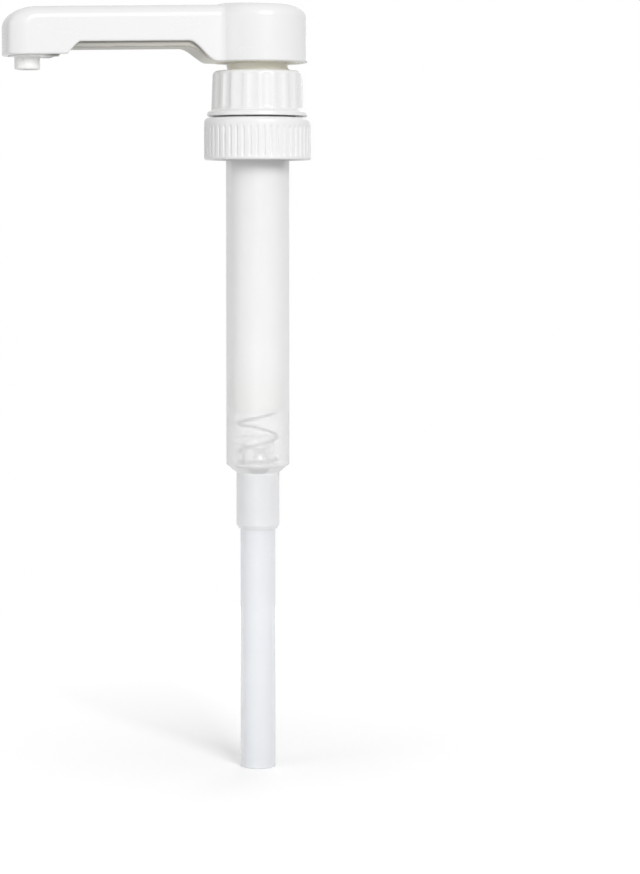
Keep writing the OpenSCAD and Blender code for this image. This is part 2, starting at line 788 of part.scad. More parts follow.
// Plan of the duct's floor: a straight tray with a round end under the tip block
module tray_plan() {
    pad_gap = 0.6;
    pad_r = arm_half - head_wall - pad_gap;
    pad_centre_x = pad_x + pad_r;
    translate([pad_centre_x, -tray_half]) square([-pad_centre_x, 2 * tray_half]);
    translate([pad_centre_x, 0]) circle(r = pad_r);
}

module spout_duct() {
    ridge_rise = 1.1;
    ridge_turns = 0.8;
    ridge_start = -114;
    color([0.9, 0.89, 0.86]) union() {
        difference() {
            union() {
                intersection() {
                    across(tray_half) duct_floor_outline();
                    translate([0, 0, z_boss_foot]) linear_extrude(height = head_h) tray_plan();
                }
                for (side = [-1, 1])
                    translate([0, side * (tray_half - tray_rim_t / 2), 0]) across(tray_rim_t / 2) duct_rim_outline();
                channel_body(channel_tube_r, channel_end_x, -channel_end_x);
                translate([-spout_reach, 0, z_nozzle_foot]) {
                    cylinder(r = nozzle_d / 2, h = z_pad + tray_t / 2 - z_nozzle_foot);
                    cylinder(r = nozzle_d / 2 - nozzle_waist, h = z_channel_tip - z_nozzle_foot);
                }
                ring(stem_d / 2, head_d / 2 - head_wall, z_head, z_head + tray_t);
                translate([0, 0, z_head]) cylinder(r = tower_r, h = z_tower_top - z_head);
                translate([0, 0, z_boss_foot]) cylinder(r = boss_r, h = z_head - z_boss_foot + 0.5);
            }
            translate([0, 0, z_boss_foot - over]) cylinder(r = stem_d / 2, h = z_stem_top - z_boss_foot + over);
            translate([0, 0, z_stem_top - over]) cylinder(r = stem_bore / 2, h = z_chamber_top - z_stem_top + over);
            ring(stem_d / 2 - over, stem_d / 2 + o_ring_wire,
                 z_o_ring - o_ring_groove_h / 2, z_o_ring + o_ring_groove_h / 2);
            channel_body(channel_r, channel_end_x - over, over - channel_end_x);
            translate([-spout_reach, 0, z_nozzle_foot - over])
                cylinder(r = nozzle_bore / 2, h = z_channel_tip - z_nozzle_foot + over);
        }
        thread_ridge(boss_r - bite, boss_r + lock_thread_depth, z_boss_foot + ridge_rise, lock_thread_pitch,
                     ridge_turns, lock_ridge_root_w, lock_ridge_crest_w, ridge_start);
    }
}

module duct_end_plug() {
    color(natural) union() {
        channel_body(channel_r, channel_end_x - plug_cap_t / 2, plug_cap_t / 2 + plug_depth);
        channel_body(channel_r + plug_lip, channel_end_x - plug_cap_t, plug_cap_t);
    }
}

module stem_o_ring() {
    color([0.25, 0.25, 0.25]) rotate_extrude()
        translate([stem_d / 2 + o_ring_wire / 2, z_o_ring]) circle(r = o_ring_wire / 2);
}

// ---------------------------------------------------------------- nodes

head_shell();
spout_duct();
duct_end_plug();
stem_o_ring();
piston_stem();
outlet_seat();
outlet_ball();
outlet_cage();
piston_cup();
piston_snap_ring();
return_spring();
lock_collar();
stem_wiper();
guide_bush();
closure_cap();
neck_gasket();
barrel();
inlet_cage();
inlet_ball();
dip_tube();
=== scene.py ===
"""Looks of a condiment pump for a screw-neck jug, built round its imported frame.

Sizes are in millimetres and put_mesh turns them into metres. The origin lies on the pump's axis at
the jug's rim, +Z runs up the axis, and the spout points along -X.
"""
import math

import bpy
import numpy as np
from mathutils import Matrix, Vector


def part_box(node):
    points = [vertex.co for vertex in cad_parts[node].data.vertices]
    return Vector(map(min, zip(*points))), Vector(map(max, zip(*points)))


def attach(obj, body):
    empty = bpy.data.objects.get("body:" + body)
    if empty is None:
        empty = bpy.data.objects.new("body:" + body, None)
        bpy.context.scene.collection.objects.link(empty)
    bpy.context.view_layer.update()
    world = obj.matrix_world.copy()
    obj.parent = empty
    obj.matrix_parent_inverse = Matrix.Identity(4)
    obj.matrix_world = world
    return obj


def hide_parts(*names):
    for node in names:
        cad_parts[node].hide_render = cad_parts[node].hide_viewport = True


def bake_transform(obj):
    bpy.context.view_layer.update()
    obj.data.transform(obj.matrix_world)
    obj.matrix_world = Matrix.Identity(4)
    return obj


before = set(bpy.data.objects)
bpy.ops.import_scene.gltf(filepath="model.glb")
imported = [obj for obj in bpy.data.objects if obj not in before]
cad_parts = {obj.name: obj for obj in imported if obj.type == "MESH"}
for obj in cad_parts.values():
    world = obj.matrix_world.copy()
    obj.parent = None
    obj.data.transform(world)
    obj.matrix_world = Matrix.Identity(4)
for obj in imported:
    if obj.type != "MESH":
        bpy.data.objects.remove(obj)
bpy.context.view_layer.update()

# ---------------------------------------------------------------------------------------------
# Studio: a camera just below the head, looking level with a long lens, a white floor under the
# dip tube, one broad soft lamp at the front right, weaker ones at the left and behind and a narrow
# one on the lower half. It all stands turned about the pump: the spout points a little forwards.

METRES = 0.001
view_turn = math.radians(-16)
camera_place = (24.87, -1040.0, -28.33)
camera_pitch = 0.0387
camera_lens = 107.3
camera_shift_y = -0.1487


def about_axis(place):
    """A place in mm turned about the pump's axis by view_turn: x' = x cos - y sin, y' = x sin + y cos."""
    x, y, z = place
    c, s = math.cos(view_turn), math.sin(view_turn)
    return np.array((x * c - y * s, x * s + y * c, z))


camera_data = bpy.data.cameras.new("camera")
camera_data.lens = camera_lens
camera_data.sensor_width = 36
camera_data.shift_y = camera_shift_y
camera = bpy.data.objects.new("camera", camera_data)
camera.location = about_axis(camera_place) * METRES
camera.rotation_euler = (math.pi / 2 - camera_pitch, 0, view_turn)
bpy.context.scene.collection.objects.link(camera)
bpy.context.scene.camera = camera
bpy.context.scene.view_settings.view_transform = "Standard"


def soft_lamp(name, place, target, size, watts, spread=180.0):
    """A square area lamp at place, aimed at target, both in mm and turned by view_turn. A spread in
    degrees below 180 narrows its light to a soft-edged cone."""
    data = bpy.data.lights.new(name, "AREA")
    data.size = size * METRES
    data.energy = watts
    data.spread = math.radians(spread)
    lamp = bpy.data.objects.new(name, data)
    lamp.location = about_axis(place) * METRES
    aim = about_axis(target) - about_axis(place)
    across = math.hypot(aim[0], aim[1])
    lamp.rotation_euler = (math.atan2(across, -aim[2]), 0, math.atan2(-aim[0], aim[1]))
    bpy.context.scene.collection.objects.link(lamp)
    return lamp


soft_lamp("key_lamp", (380, -940, 460), (0, 0, -60), 420, 7.3)
soft_lamp("fill_lamp", (-900, -600, 160), (0, 0, -80), 600, 1.6)
soft_lamp("low_lamp", (-100, -950, -150), (0, 0, -175), 160, 0.018, spread=22)
soft_lamp("back_lamp", (250, 950, 300), (0, 0, -60), 600, 1.8)

ambient_light = 0.42
world = bpy.data.worlds.new("studio")
bpy.context.scene.world = world
world.use_nodes = True


def shows_background(tree):
    """Node output that is 1 for the rays that see the backdrop: camera, glossy and transmission rays."""
    path = tree.nodes.new("ShaderNodeLightPath")
    first = tree.nodes.new("ShaderNodeMath")
    first.operation = "MAXIMUM"
    second = tree.nodes.new("ShaderNodeMath")
    second.operation = "MAXIMUM"
    tree.links.new(path.outputs["Is Camera Ray"], first.inputs[0])
    tree.links.new(path.outputs["Is Glossy Ray"], first.inputs[1])
    tree.links.new(first.outputs[0], second.inputs[0])
    tree.links.new(path.outputs["Is Transmission Ray"], second.inputs[1])
    return second.outputs[0]


def set_world():
    """Even light of ambient_light for the object, and plain white where the backdrop is seen."""
    tree = world.node_tree
    tree.nodes.clear()
    light = tree.nodes.new("ShaderNodeBackground")
    light.inputs["Strength"].default_value = ambient_light
    white = tree.nodes.new("ShaderNodeBackground")
    white.inputs["Strength"].default_value = 1.0
    for node in (light, white):
        node.inputs["Color"].default_value = (1, 1, 1, 1)
    mix = tree.nodes.new("ShaderNodeMixShader")
    out = tree.nodes.new("ShaderNodeOutputWorld")
    tree.links.new(shows_background(tree), mix.inputs[0])
    tree.links.new(light.outputs[0], mix.inputs[1])
    tree.links.new(white.outputs[0], mix.inputs[2])
    tree.links.new(mix.outputs[0], out.inputs["Surface"])


def white_floor(z_floor, radius=420.0, middle_glow=0.2, rim_glow=0.58):
    """A matt disc whose own glow, stronger towards its rim, lifts it to white where the backdrop is
    seen, so that only the object's shadow shows on it."""
    a = np.arange(96) * 2 * math.pi / 96
    rim = np.stack([radius * np.cos(a), radius * np.sin(a), np.full(96, z_floor)], 1)
    mesh = bpy.data.meshes.new("floor")
    mesh.from_pydata((rim * METRES).tolist(), [], [tuple(range(96))])
    floor = bpy.data.objects.new("floor", mesh)
    bpy.context.scene.collection.objects.link(floor)
    paint = bpy.data.materials.new("floor_white")
    paint.use_nodes = True
    tree = paint.node_tree
    tree.nodes.clear()
    matt = tree.nodes.new("ShaderNodeBsdfDiffuse")
    matt.inputs["Color"].default_value = (0.92, 0.92, 0.92, 1)
    lift = tree.nodes.new("ShaderNodeEmission")
    place = tree.nodes.new("ShaderNodeTexCoord")
    out_from_axis = tree.nodes.new("ShaderNodeVectorMath")
    out_from_axis.operation = "DISTANCE"
    out_from_axis.inputs[1].default_value = (0, 0, z_floor * METRES)
    glow = tree.nodes.new("ShaderNodeMapRange")
    glow.inputs["From Max"].default_value = radius * METRES
    glow.inputs["To Min"].default_value = middle_glow
    glow.inputs["To Max"].default_value = rim_glow
    strength = tree.nodes.new("ShaderNodeMath")
    strength.operation = "MULTIPLY"
    tree.links.new(place.outputs["Object"], out_from_axis.inputs[0])
    tree.links.new(out_from_axis.outputs["Value"], glow.inputs["Value"])
    tree.links.new(glow.outputs["Result"], strength.inputs[1])
    both = tree.nodes.new("ShaderNodeAddShader")
    out = tree.nodes.new("ShaderNodeOutputMaterial")
    tree.links.new(shows_background(tree), strength.inputs[0])
    tree.links.new(strength.outputs[0], lift.inputs["Strength"])
    tree.links.new(matt.outputs[0], both.inputs[0])
    tree.links.new(lift.outputs[0], both.inputs[1])
    tree.links.new(both.outputs[0], out.inputs["Surface"])
    mesh.materials.append(paint)


set_world()
dip_low, dip_high = (np.array(corner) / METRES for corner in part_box("dip_tube"))
white_floor(dip_low[2] - 0.1)

# ---------------------------------------------------------------------------------------------
# Barrel: the milky polypropylene body, moulded in one with the flange that rests on the gasket,
# the threaded neck that takes the lock collar, the inlet ball's seat and the neck for the tube.

barrel_r, barrel_bore_r = 12.6, 11.0
flange_r, flange_foot, flange_top = 17.2, 1.8, 4.0
neck_r, neck_root_r, neck_top = 15.0, 14.0, 16.0
neck_step, bush_seat_r, bush_foot = 7.4, 12.4, 9.0
shoulder_top, shoulder_foot = -131.4, -134.6
barrel_floor, seat_foot = -132.6, -137.0
seat_mouth_r, seat_hole_r, seat_hole_top = 5.6, 3.7, -134.5
tube_neck_r, tube_neck_foot, tube_r = 8.6, -157.2, 7.0
collar_pitch = 3.0


def rounded_outline(corners, step=6.0, arc_step=20.0, hold=0.12):
    """Points round a closed outline of (r, z, radius) corners.

    A corner is cut back by radius * tan(turn / 2) along both of its sides and bridged by an arc about
    the centre that lies radius / cos(turn / 2) from the corner. Straight stretches get points at most
    step apart, and one point close to each arc, which keeps the shading of flat faces flat.
    """
    corners = np.array(corners, float)
    spots, radii = corners[:, :2], corners[:, 2]
    before = spots - np.roll(spots, 1, axis=0)
    after = np.roll(spots, -1, axis=0) - spots
    before /= np.linalg.norm(before, axis=1)[:, None]
    after /= np.linalg.norm(after, axis=1)[:, None]
    turn = np.arctan2(before[:, 0] * after[:, 1] - before[:, 1] * after[:, 0], (before * after).sum(1))
    back = radii * np.tan(np.abs(turn) / 2)
    points = []
    for i, corner in enumerate(spots):
        if radii[i] > 0 and abs(turn[i]) > 1e-3:
            count = max(2, int(math.ceil(math.degrees(abs(turn[i])) / arc_step)))
            inward = np.sign(turn[i]) * np.array([-before[i, 1], before[i, 0]])
            centre = corner - before[i] * back[i] + inward * radii[i]
            arm = -inward * radii[i]
            angles = np.linspace(0, turn[i], count + 1)
            c, s = np.cos(angles), np.sin(angles)
            arc = centre + np.stack([arm[0] * c - arm[1] * s, arm[0] * s + arm[1] * c], 1)
        else:
            arc = corner[None]
        points.append(arc)
    outline = []
    for i, arc in enumerate(points):
        outline.append(arc)
        start, end = arc[-1], points[(i + 1) % len(points)][0]
        length = np.linalg.norm(end - start)
        if length > 3 * hold:
            inner = np.linspace(hold, length - hold, max(2, int(math.ceil(length / step)) + 1))
            outline.append(start + (end - start) * (inner / length)[:, None])
    return np.concatenate(outline)


def grid_quads(rows, columns, wrap_rows=True, wrap_columns=True):
    """Quads of a grid of points laid out row by row."""
    i, j = np.meshgrid(np.arange(rows if wrap_rows else rows - 1),
                       np.arange(columns if wrap_columns else columns - 1), indexing="ij")
    k, m = (i + 1) % rows, (j + 1) % columns
    return np.stack([i * columns + j, i * columns + m, k * columns + m, k * columns + j], -1).reshape(-1, 4)


def turned(outline, columns=160, swell=None):
    """Surface of revolution: the point (r, z) of the outline at the angle a goes to
    (r' cos a, r' sin a, z), where r' is r, or r + swell(r, z, a)."""
    angle = np.arange(columns) * 2 * math.pi / columns
    r = np.repeat(outline[:, :1], columns, axis=1)
    z = np.repeat(outline[:, 1:2], columns, axis=1)
    a = np.repeat(angle[None], len(outline), axis=0)
    if swell is not None:
        r = r + swell(r, z, a)
    points = np.stack([r * np.cos(a), r * np.sin(a), z], -1).reshape(-1, 3)
    return points, grid_quads(len(outline), columns)


def helix_ridge(root_r, crest_r, z_start, pitch, turns, root_w, crest_w, start=0.0, per_turn=72):
    """Thread ridge: a trapezium carried up the helix (r cos a, r sin a, z_start + pitch a / 2 pi),
    with a crest that rises over the first tenth of the run and sinks over the last."""
    count = int(per_turn * turns)
    t = np.linspace(0, 1, count + 1)
    rise = np.clip(np.minimum(t, 1 - t) * 10, 0.1, 1)
    crest = root_r + (crest_r - root_r) * rise
    a = math.radians(start) + 2 * math.pi * turns * t
    z = z_start + pitch * turns * t
    r = np.stack([np.full_like(t, root_r), crest, crest, np.full_like(t, root_r)], 1)
    dz = np.array([-root_w, -crest_w, crest_w, root_w]) / 2
    points = np.stack([r * np.cos(a)[:, None], r * np.sin(a)[:, None], z[:, None] + dz], -1).reshape(-1, 3)
    last = count * 4
    ends = np.array([[0, 1, 2, 3], [last + 3, last + 2, last + 1, last]])
    return points, np.concatenate([grid_quads(count + 1, 4, wrap_rows=False), ends])


def joined(*shells):
    """One point array and one quad array from several closed shells, each turned to face outwards:
    a shell whose signed volume, the sum of a . (b x c) / 6 over its triangles, is negative is turned."""
    points, quads, base = [], [], 0
    for shell_points, shell_quads in shells:
        a, b, c, d = (shell_points[shell_quads[:, k]] for k in range(4))
        volume = (a * np.cross(b, c)).sum() + (a * np.cross(c, d)).sum()
        turned_quads = shell_quads[:, ::-1] if volume < 0 else shell_quads
        points.append(shell_points)
        quads.append(turned_quads + base)
        base += len(shell_points)
    return np.concatenate(points), np.concatenate(quads)


def put_mesh(name, shells, body, material, nodes, normals=None, bore=None):
    """Puts shells, a list of (points, quads), into one smooth mesh that rides on its body and stands
    for its nodes of the frame. The faces that look towards the axis take the bore's material."""
    points, quads = joined(*shells)
    mesh = bpy.data.meshes.new(name)
    mesh.vertices.add(len(points))
    mesh.vertices.foreach_set("co", (points * METRES).ravel())
    mesh.loops.add(quads.size)
    mesh.loops.foreach_set("vertex_index", quads.ravel())
    mesh.polygons.add(len(quads))
    mesh.polygons.foreach_set("loop_start", np.arange(len(quads)) * 4)
    mesh.update(calc_edges=True)
    mesh.validate()
    mesh.shade_smooth()
    if normals is not None:
        mesh.normals_split_custom_set_from_vertices(normals)
    mesh.materials.append(material)
    if bore is not None:
        mesh.materials.append(bore)
        a, b, c, d = (points[quads[:, k]] for k in range(4))
        facing, middle = np.cross(c - a, d - b)[:, :2], (a + b + c + d)[:, :2]
        mesh.polygons.foreach_set("material_index", ((facing * middle).sum(1) < 0).astype(np.int32))
    piece = bpy.data.objects.new(name, mesh)
    bpy.context.scene.collection.objects.link(piece)
    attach(piece, body)
    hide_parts(*nodes)
    return piece


def number_node(tree, operation, first, second):
    """A Math node over two sockets or plain numbers."""
    node = tree.nodes.new("ShaderNodeMath")
    node.operation = operation
    for socket, value in zip(node.inputs, (first, second)):
        if isinstance(value, (int, float)):
            socket.default_value = value
        else:
            tree.links.new(value, socket)
    return node.outputs[0]


def make_moulded_skin():
    """Skin of an injection moulding: flow shades a few millimetres wide, a fine grain left by the
    tool, and a roughness that wanders with both."""
    group = bpy.data.node_groups.new("moulded_skin", "ShaderNodeTree")
    sockets = group.interface
    sockets.new_socket("Colour", in_out="INPUT", socket_type="NodeSocketColor")
    sockets.new_socket("Flow colour", in_out="INPUT", socket_type="NodeSocketColor")
    for name in ("Flow size", "Grain size", "Roughness", "Roughness spread"):
        sockets.new_socket(name, in_out="INPUT", socket_type="NodeSocketFloat")
    sockets.new_socket("Colour", in_out="OUTPUT", socket_type="NodeSocketColor")
    sockets.new_socket("Roughness", in_out="OUTPUT", socket_type="NodeSocketFloat")
    sockets.new_socket("Height", in_out="OUTPUT", socket_type="NodeSocketFloat")
    nodes, links = group.nodes, group.links
    given, result = nodes.new("NodeGroupInput"), nodes.new("NodeGroupOutput")
    place = nodes.new("ShaderNodeTexCoord")
    noises = {}
    for name, size, detail in (("flow", "Flow size", 3.0), ("grain", "Grain size", 2.0)):
        noise = nodes.new("ShaderNodeTexNoise")
        noise.inputs["Detail"].default_value = detail
        links.new(place.outputs["Object"], noise.inputs["Vector"])
        links.new(number_node(group, "DIVIDE", 1.0, given.outputs[size]), noise.inputs["Scale"])
        noises[name] = noise.outputs["Fac"]
    spread = nodes.new("ShaderNodeMapRange")
    spread.inputs["From Min"].default_value = 0.35
    spread.inputs["From Max"].default_value = 0.65
    links.new(noises["flow"], spread.inputs["Value"])
    shade = nodes.new("ShaderNodeMix")
    shade.data_type = "RGBA"
    links.new(spread.outputs["Result"], shade.inputs["Factor"])
    links.new(given.outputs["Colour"], shade.inputs["A"])
    links.new(given.outputs["Flow colour"], shade.inputs["B"])
    links.new(shade.outputs["Result"], result.inputs["Colour"])
    wander = number_node(group, "SUBTRACT", number_node(group, "ADD", noises["flow"], noises["grain"]), 1.0)
    offset = number_node(group, "MULTIPLY", wander, given.outputs["Roughness spread"])
    links.new(number_node(group, "ADD", given.outputs["Roughness"], offset), result.inputs["Roughness"])
    links.new(noises["grain"], result.inputs["Height"])
    return group


moulded_skin = make_moulded_skin()


def grained_material(name, colour, flow_colour, roughness, flow=6.0, grain=0.35, spread=0.12,
                     bump=0.06, **plain):
    """A Principled material with the moulded skin; plain holds values for its own sockets."""
    material = bpy.data.materials.new(name)
    material.use_nodes = True
    tree = material.node_tree
    shader = tree.nodes["Principled BSDF"]
    skin = tree.nodes.new("ShaderNodeGroup")
    skin.node_tree = moulded_skin
    skin.inputs["Colour"].default_value = (*colour, 1)
    skin.inputs["Flow colour"].default_value = (*flow_colour, 1)
    skin.inputs["Flow size"].default_value = flow * METRES
    skin.inputs["Grain size"].default_value = grain * METRES
    skin.inputs["Roughness"].default_value = roughness
    skin.inputs["Roughness spread"].default_value = spread
    relief = tree.nodes.new("ShaderNodeBump")
    relief.inputs["Strength"].default_value = bump
    relief.inputs["Distance"].default_value = 0.1 * METRES
    tree.links.new(skin.outputs["Colour"], shader.inputs["Base Color"])
    tree.links.new(skin.outputs["Roughness"], shader.inputs["Roughness"])
    tree.links.new(skin.outputs["Height"], relief.inputs["Height"])
    tree.links.new(relief.outputs["Normal"], shader.inputs["Normal"])
    for socket, value in plain.items():
        shader.inputs[socket.replace("_", " ")].default_value = value
    return material


milky_white, milky_flow = (0.98, 0.98, 0.985), (0.965, 0.967, 0.975)
milky_plastic = grained_material("milky_plastic", milky_white, milky_flow, 0.42, flow=9.0,
                                 IOR=1.45, Alpha=0.62)
milky_bore = grained_material("milky_bore", milky_white, milky_flow, 0.42, flow=9.0,
                              IOR=1.45, Alpha=0.07)

barrel_outline = rounded_outline([
    (tube_r, tube_neck_foot, 0.2),
    (tube_neck_r - 1.0, tube_neck_foot, 0.3),
    (tube_neck_r, tube_neck_foot + 1.6, 0.8),
    (tube_neck_r, shoulder_foot, 0.5),
    (barrel_r, shoulder_top, 0.9),
    (barrel_r, flange_foot, 0.4),
    (flange_r, flange_foot, 0.3),
    (flange_r, flange_top, 0.3),
    (neck_r, flange_top, 0.3),
    (neck_r, neck_step, 0.2),
    (neck_root_r, neck_step, 0.2),
    (neck_root_r, neck_top, 0.3),
    (bush_seat_r, neck_top, 0.3),
    (bush_seat_r, bush_foot, 0.1),
    (barrel_bore_r, bush_foot, 0.2),
    (barrel_bore_r, barrel_floor + 1.8, 0.3),
    (9.2, barrel_floor, 0.2),
    (seat_mouth_r, barrel_floor, 0.1),
    (seat_hole_r, seat_hole_top, 0.1),
    (seat_hole_r, seat_foot, 0.2),
    (tube_r, seat_foot, 0.2)])
barrel_thread = helix_ridge(neck_root_r - 0.3, neck_r, neck_step + 1.4, collar_pitch, 1.9, 1.6, 0.6)
put_mesh("barrel_body", [turned(barrel_outline), barrel_thread], "pump_body",
         milky_plastic, ["barrel"], bore=milky_bore)

# ---------------------------------------------------------------------------------------------
# Dip tube: a length of extruded polyethylene, cut square and pushed up the barrel's neck as far
# as the web under the ball's seat.

tube_bore_r = 5.8
clear_blue, clear_flow = (0.945, 0.96, 0.985), (0.93, 0.95, 0.975)
clear_plastic = grained_material("clear_tube_plastic", clear_blue, clear_flow, 0.3, flow=14.0, grain=0.5,
                                 IOR=1.45, Alpha=0.6)
# The tube is one plastic; the bore's darker, greyer blue is painted shade inside the tube.
shaded_tube_bore = grained_material("clear_tube_bore_painted_shade", (0.72, 0.745, 0.80), (0.69, 0.715, 0.78), 0.3,
                              flow=14.0, grain=0.5, IOR=1.45, Alpha=0.3)
tube_outline = rounded_outline([
    (tube_bore_r, dip_low[2], 0.15), (tube_r, dip_low[2], 0.25), (tube_r, dip_high[2], 0.15),
    (tube_bore_r, dip_high[2], 0.15)])
put_mesh("dip_tube_length", [turned(tube_outline)], "pump_body", clear_plastic, ["dip_tube"],
         bore=shaded_tube_bore)

# ---------------------------------------------------------------------------------------------
# Valves: two stainless check balls on conical seats. The inlet ball sits in the barrel's floor
# under a windowed cap, and the outlet ball in the stem's top between a seat plug and a cage.


def ball(centre_z, radius, rows=48):
    """Sphere of revolution: r = R sin b, z = c - R cos b, stopping just short of each pole at a ring
    whose radius is a thousandth of the ball's; the two pole rings are joined by a thin tube of quads along
    the axis."""
    b = np.linspace(0.001, math.pi - 0.001, rows)
    outline = np.stack([radius * np.sin(b), centre_z - radius * np.cos(b)], 1)
    return turned(outline, 64)


def box_mm(node):
    """Lowest and highest corner of a node of the frame, in mm."""
    low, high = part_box(node)
    return np.array(low) / METRES, np.array(high) / METRES


def paint_nodes(names, material):
    """Gives the CAD meshes of these nodes the material in place of their own."""
    for name in names:
        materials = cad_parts[name].data.materials
        materials.clear()
        materials.append(material)


natural_plastic = grained_material("natural_plastic", (0.86, 0.85, 0.81), (0.82, 0.81, 0.77), 0.42)
polished_steel = grained_material("polished_steel", (0.55, 0.56, 0.58), (0.49, 0.50, 0.52), 0.34,
                                  spread=0.08, bump=0.02, Metallic=1.0)
for node_name, ride_body in (("inlet_ball", "inlet_ball_body"), ("outlet_ball", "outlet_ball_body")):
    low, high = box_mm(node_name)
    put_mesh(node_name + "_polished", [ball((low[2] + high[2]) / 2, (high[2] - low[2]) / 2)], ride_body,
             polished_steel, [node_name])

paint_nodes(["inlet_cage", "outlet_cage", "outlet_seat"], natural_plastic)

# ---------------------------------------------------------------------------------------------
# Return spring: stainless wire wound right-handed with closed ends. It stands on the inlet cap's
# foot inside the hollow stem and pushes up against the outlet seat.

spring_wire, spring_mean_r, spring_turns, spring_start = 1.3, 7.65, 13, 52.0
closed_pitch = spring_wire + 0.15
spring_low, spring_high = box_mm("return_spring")


def spring_height(t):
    """Height of the wire's centre after t turns: one closed turn, the working turns, one closed."""
    z0 = spring_low[2] + spring_wire / 2
    z1 = spring_high[2] - spring_wire / 2
    pitch = (z1 - z0 - 2 * closed_pitch) / spring_turns
    working = z0 + closed_pitch + pitch * (t - 1)
    return np.where(t < 1, z0 + closed_pitch * t,
                    np.where(t > spring_turns + 1, z1 - closed_pitch * (spring_turns + 2 - t), working))


def coil(per_turn=40, sides=12):
    """Wire carried round a helix: (R + w cos b, z + w sin b) at the angle a = start + 2 pi t. Each
    end is drawn in to a small flat face."""
    t = np.linspace(0, spring_turns + 2, per_turn * (spring_turns + 2) + 1)
    t = np.concatenate([t[:1], t, t[-1:]])
    wire = np.full(len(t), spring_wire / 2)
    wire[[0, -1]] = 0.01
    a = math.radians(spring_start) + 2 * math.pi * t
    b = np.arange(sides) * 2 * math.pi / sides
    r = spring_mean_r + wire[:, None] * np.cos(b)
    z = spring_height(t)[:, None] + wire[:, None] * np.sin(b)
    points = np.stack([r * np.cos(a)[:, None], r * np.sin(a)[:, None], z], -1).reshape(-1, 3)
    return points, grid_quads(len(t), sides, wrap_rows=False)


drawn_wire = grained_material("drawn_wire", (0.10, 0.105, 0.115), (0.07, 0.075, 0.085), 0.4,
                              flow=2.0, grain=0.1, Metallic=1.0)
spring = bpy.data.objects.new("return_spring_coil", bpy.data.meshes.new("return_spring_coil"))
coil_points, coil_quads = joined(coil())
spring.data.from_pydata((coil_points * METRES).tolist(), [], coil_quads.tolist())
spring.data.shade_smooth()
spring.data.materials.append(drawn_wire)
bpy.context.scene.collection.objects.link(spring)
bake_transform(spring)
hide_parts("return_spring")

# ---------------------------------------------------------------------------------------------
# Stem and piston: an opaque white plunger tube that nearly fills the barrel. Its foot carries a
# two-lip cup held by a snap ring, and a guide land below the bush stops it at the top.

stem_r, stem_bore_r = 10.5, 8.8
stem_low, stem_high = box_mm("piston_stem")
cup_low, cup_high = box_mm("piston_cup")
land_r, land_foot, land_top = 10.9, -72.8, -68.86
ring_foot, ring_top, groove_r, cup_seat_r = -109.6, -108.2, 9.4, 9.9
stem_plastic = grained_material("stem_plastic", (0.93, 0.93, 0.925), (0.91, 0.91, 0.905), 0.34)
stem_outline = rounded_outline([
    (stem_bore_r, stem_low[2], 0.2), (cup_seat_r, stem_low[2], 0.3), (cup_seat_r, ring_foot, 0.05),
    (groove_r, ring_foot, 0.05), (groove_r, ring_top, 0.05), (cup_seat_r, ring_top, 0.05),
    (cup_seat_r, cup_high[2] + 0.1, 0.1), (stem_r, cup_high[2] + 0.1, 0.2), (stem_r, land_foot, 0.2),
    (land_r, land_foot, 0.15), (land_r, land_top, 0.15), (stem_r, land_top, 0.05),
    (stem_r, stem_high[2], 0.4), (stem_bore_r, stem_high[2], 0.2)])
put_mesh("piston_stem_tube", [turned(stem_outline)], "head", stem_plastic, ["piston_stem"])

cup_lip_r, cup_waist_r, cup_bore_r, cup_lip_h = 10.95, 10.6, 9.95, 2.2
cup_outline = rounded_outline([
    (cup_bore_r, cup_low[2], 0.15), (cup_lip_r, cup_low[2], 0.15),
    (cup_waist_r, cup_low[2] + cup_lip_h, 1.5), (cup_waist_r, cup_high[2] - cup_lip_h, 1.5),
    (cup_lip_r, cup_high[2], 0.15), (cup_bore_r, cup_high[2], 0.15)])
put_mesh("piston_cup_lips", [turned(cup_outline)], "piston", natural_plastic, ["piston_cup"])

paint_nodes(["piston_snap_ring"], natural_plastic)

# ---------------------------------------------------------------------------------------------
# Guide bush and wiper: a flanged natural bush pressed into the barrel's mouth, with a soft
# two-lip ring in its top that cleans the stem on its way up.

paint_nodes(["guide_bush"], natural_plastic)
soft_rubber = grained_material("soft_seal", (0.62, 0.64, 0.66), (0.56, 0.58, 0.60), 0.6, bump=0.15)
paint_nodes(["stem_wiper", "stem_o_ring"], soft_rubber)

# ---------------------------------------------------------------------------------------------
# Neck gasket: a die-cut ring of closed-cell foam under the barrel's flange.

gasket_low, gasket_high = box_mm("neck_gasket")
foam = grained_material("gasket_foam", (0.80, 0.80, 0.77), (0.70, 0.70, 0.67), 0.85, flow=0.8,
                        grain=0.18, bump=0.6)
gasket_outline = rounded_outline([
    (barrel_r, gasket_low[2], 0.1), (gasket_high[0], gasket_low[2], 0.35),
    (gasket_high[0], gasket_high[2], 0.2), (barrel_r, gasket_high[2], 0.1)])
put_mesh("neck_gasket_ring", [turned(gasket_outline)], "pump_body", foam, ["neck_gasket"])

# ---------------------------------------------------------------------------------------------
# Jug closure: a satin white screw cap with 48 grip ribs between a smooth rounded shoulder and a
# smooth lower band. It turns freely under the lock collar's flange.

cap_low, cap_high = box_mm("closure_cap")
cap_r, cap_bore_r, cap_seal_r, cap_thread_r = 21.3, 15.3, 17.8, 19.05
cap_ribs, cap_groove_depth, cap_groove_w = 48, 0.6, 1.2
cap_groove_foot, cap_groove_top = cap_low[2] + 1.2, cap_high[2] - 3.0
cap_plate = 4.2
jug_pitch, jug_thread_depth, jug_turns = 4.23, 1.1, 1.3
groove_fade_foot, cap_fade_top = 0.5, 1.6


def smooth_ramp(x):
    """0 below 0, 1 above 1, and 3x^2 - 2x^3 between."""
    x = np.clip(x, 0, 1)
    return x * x * (3 - 2 * x)


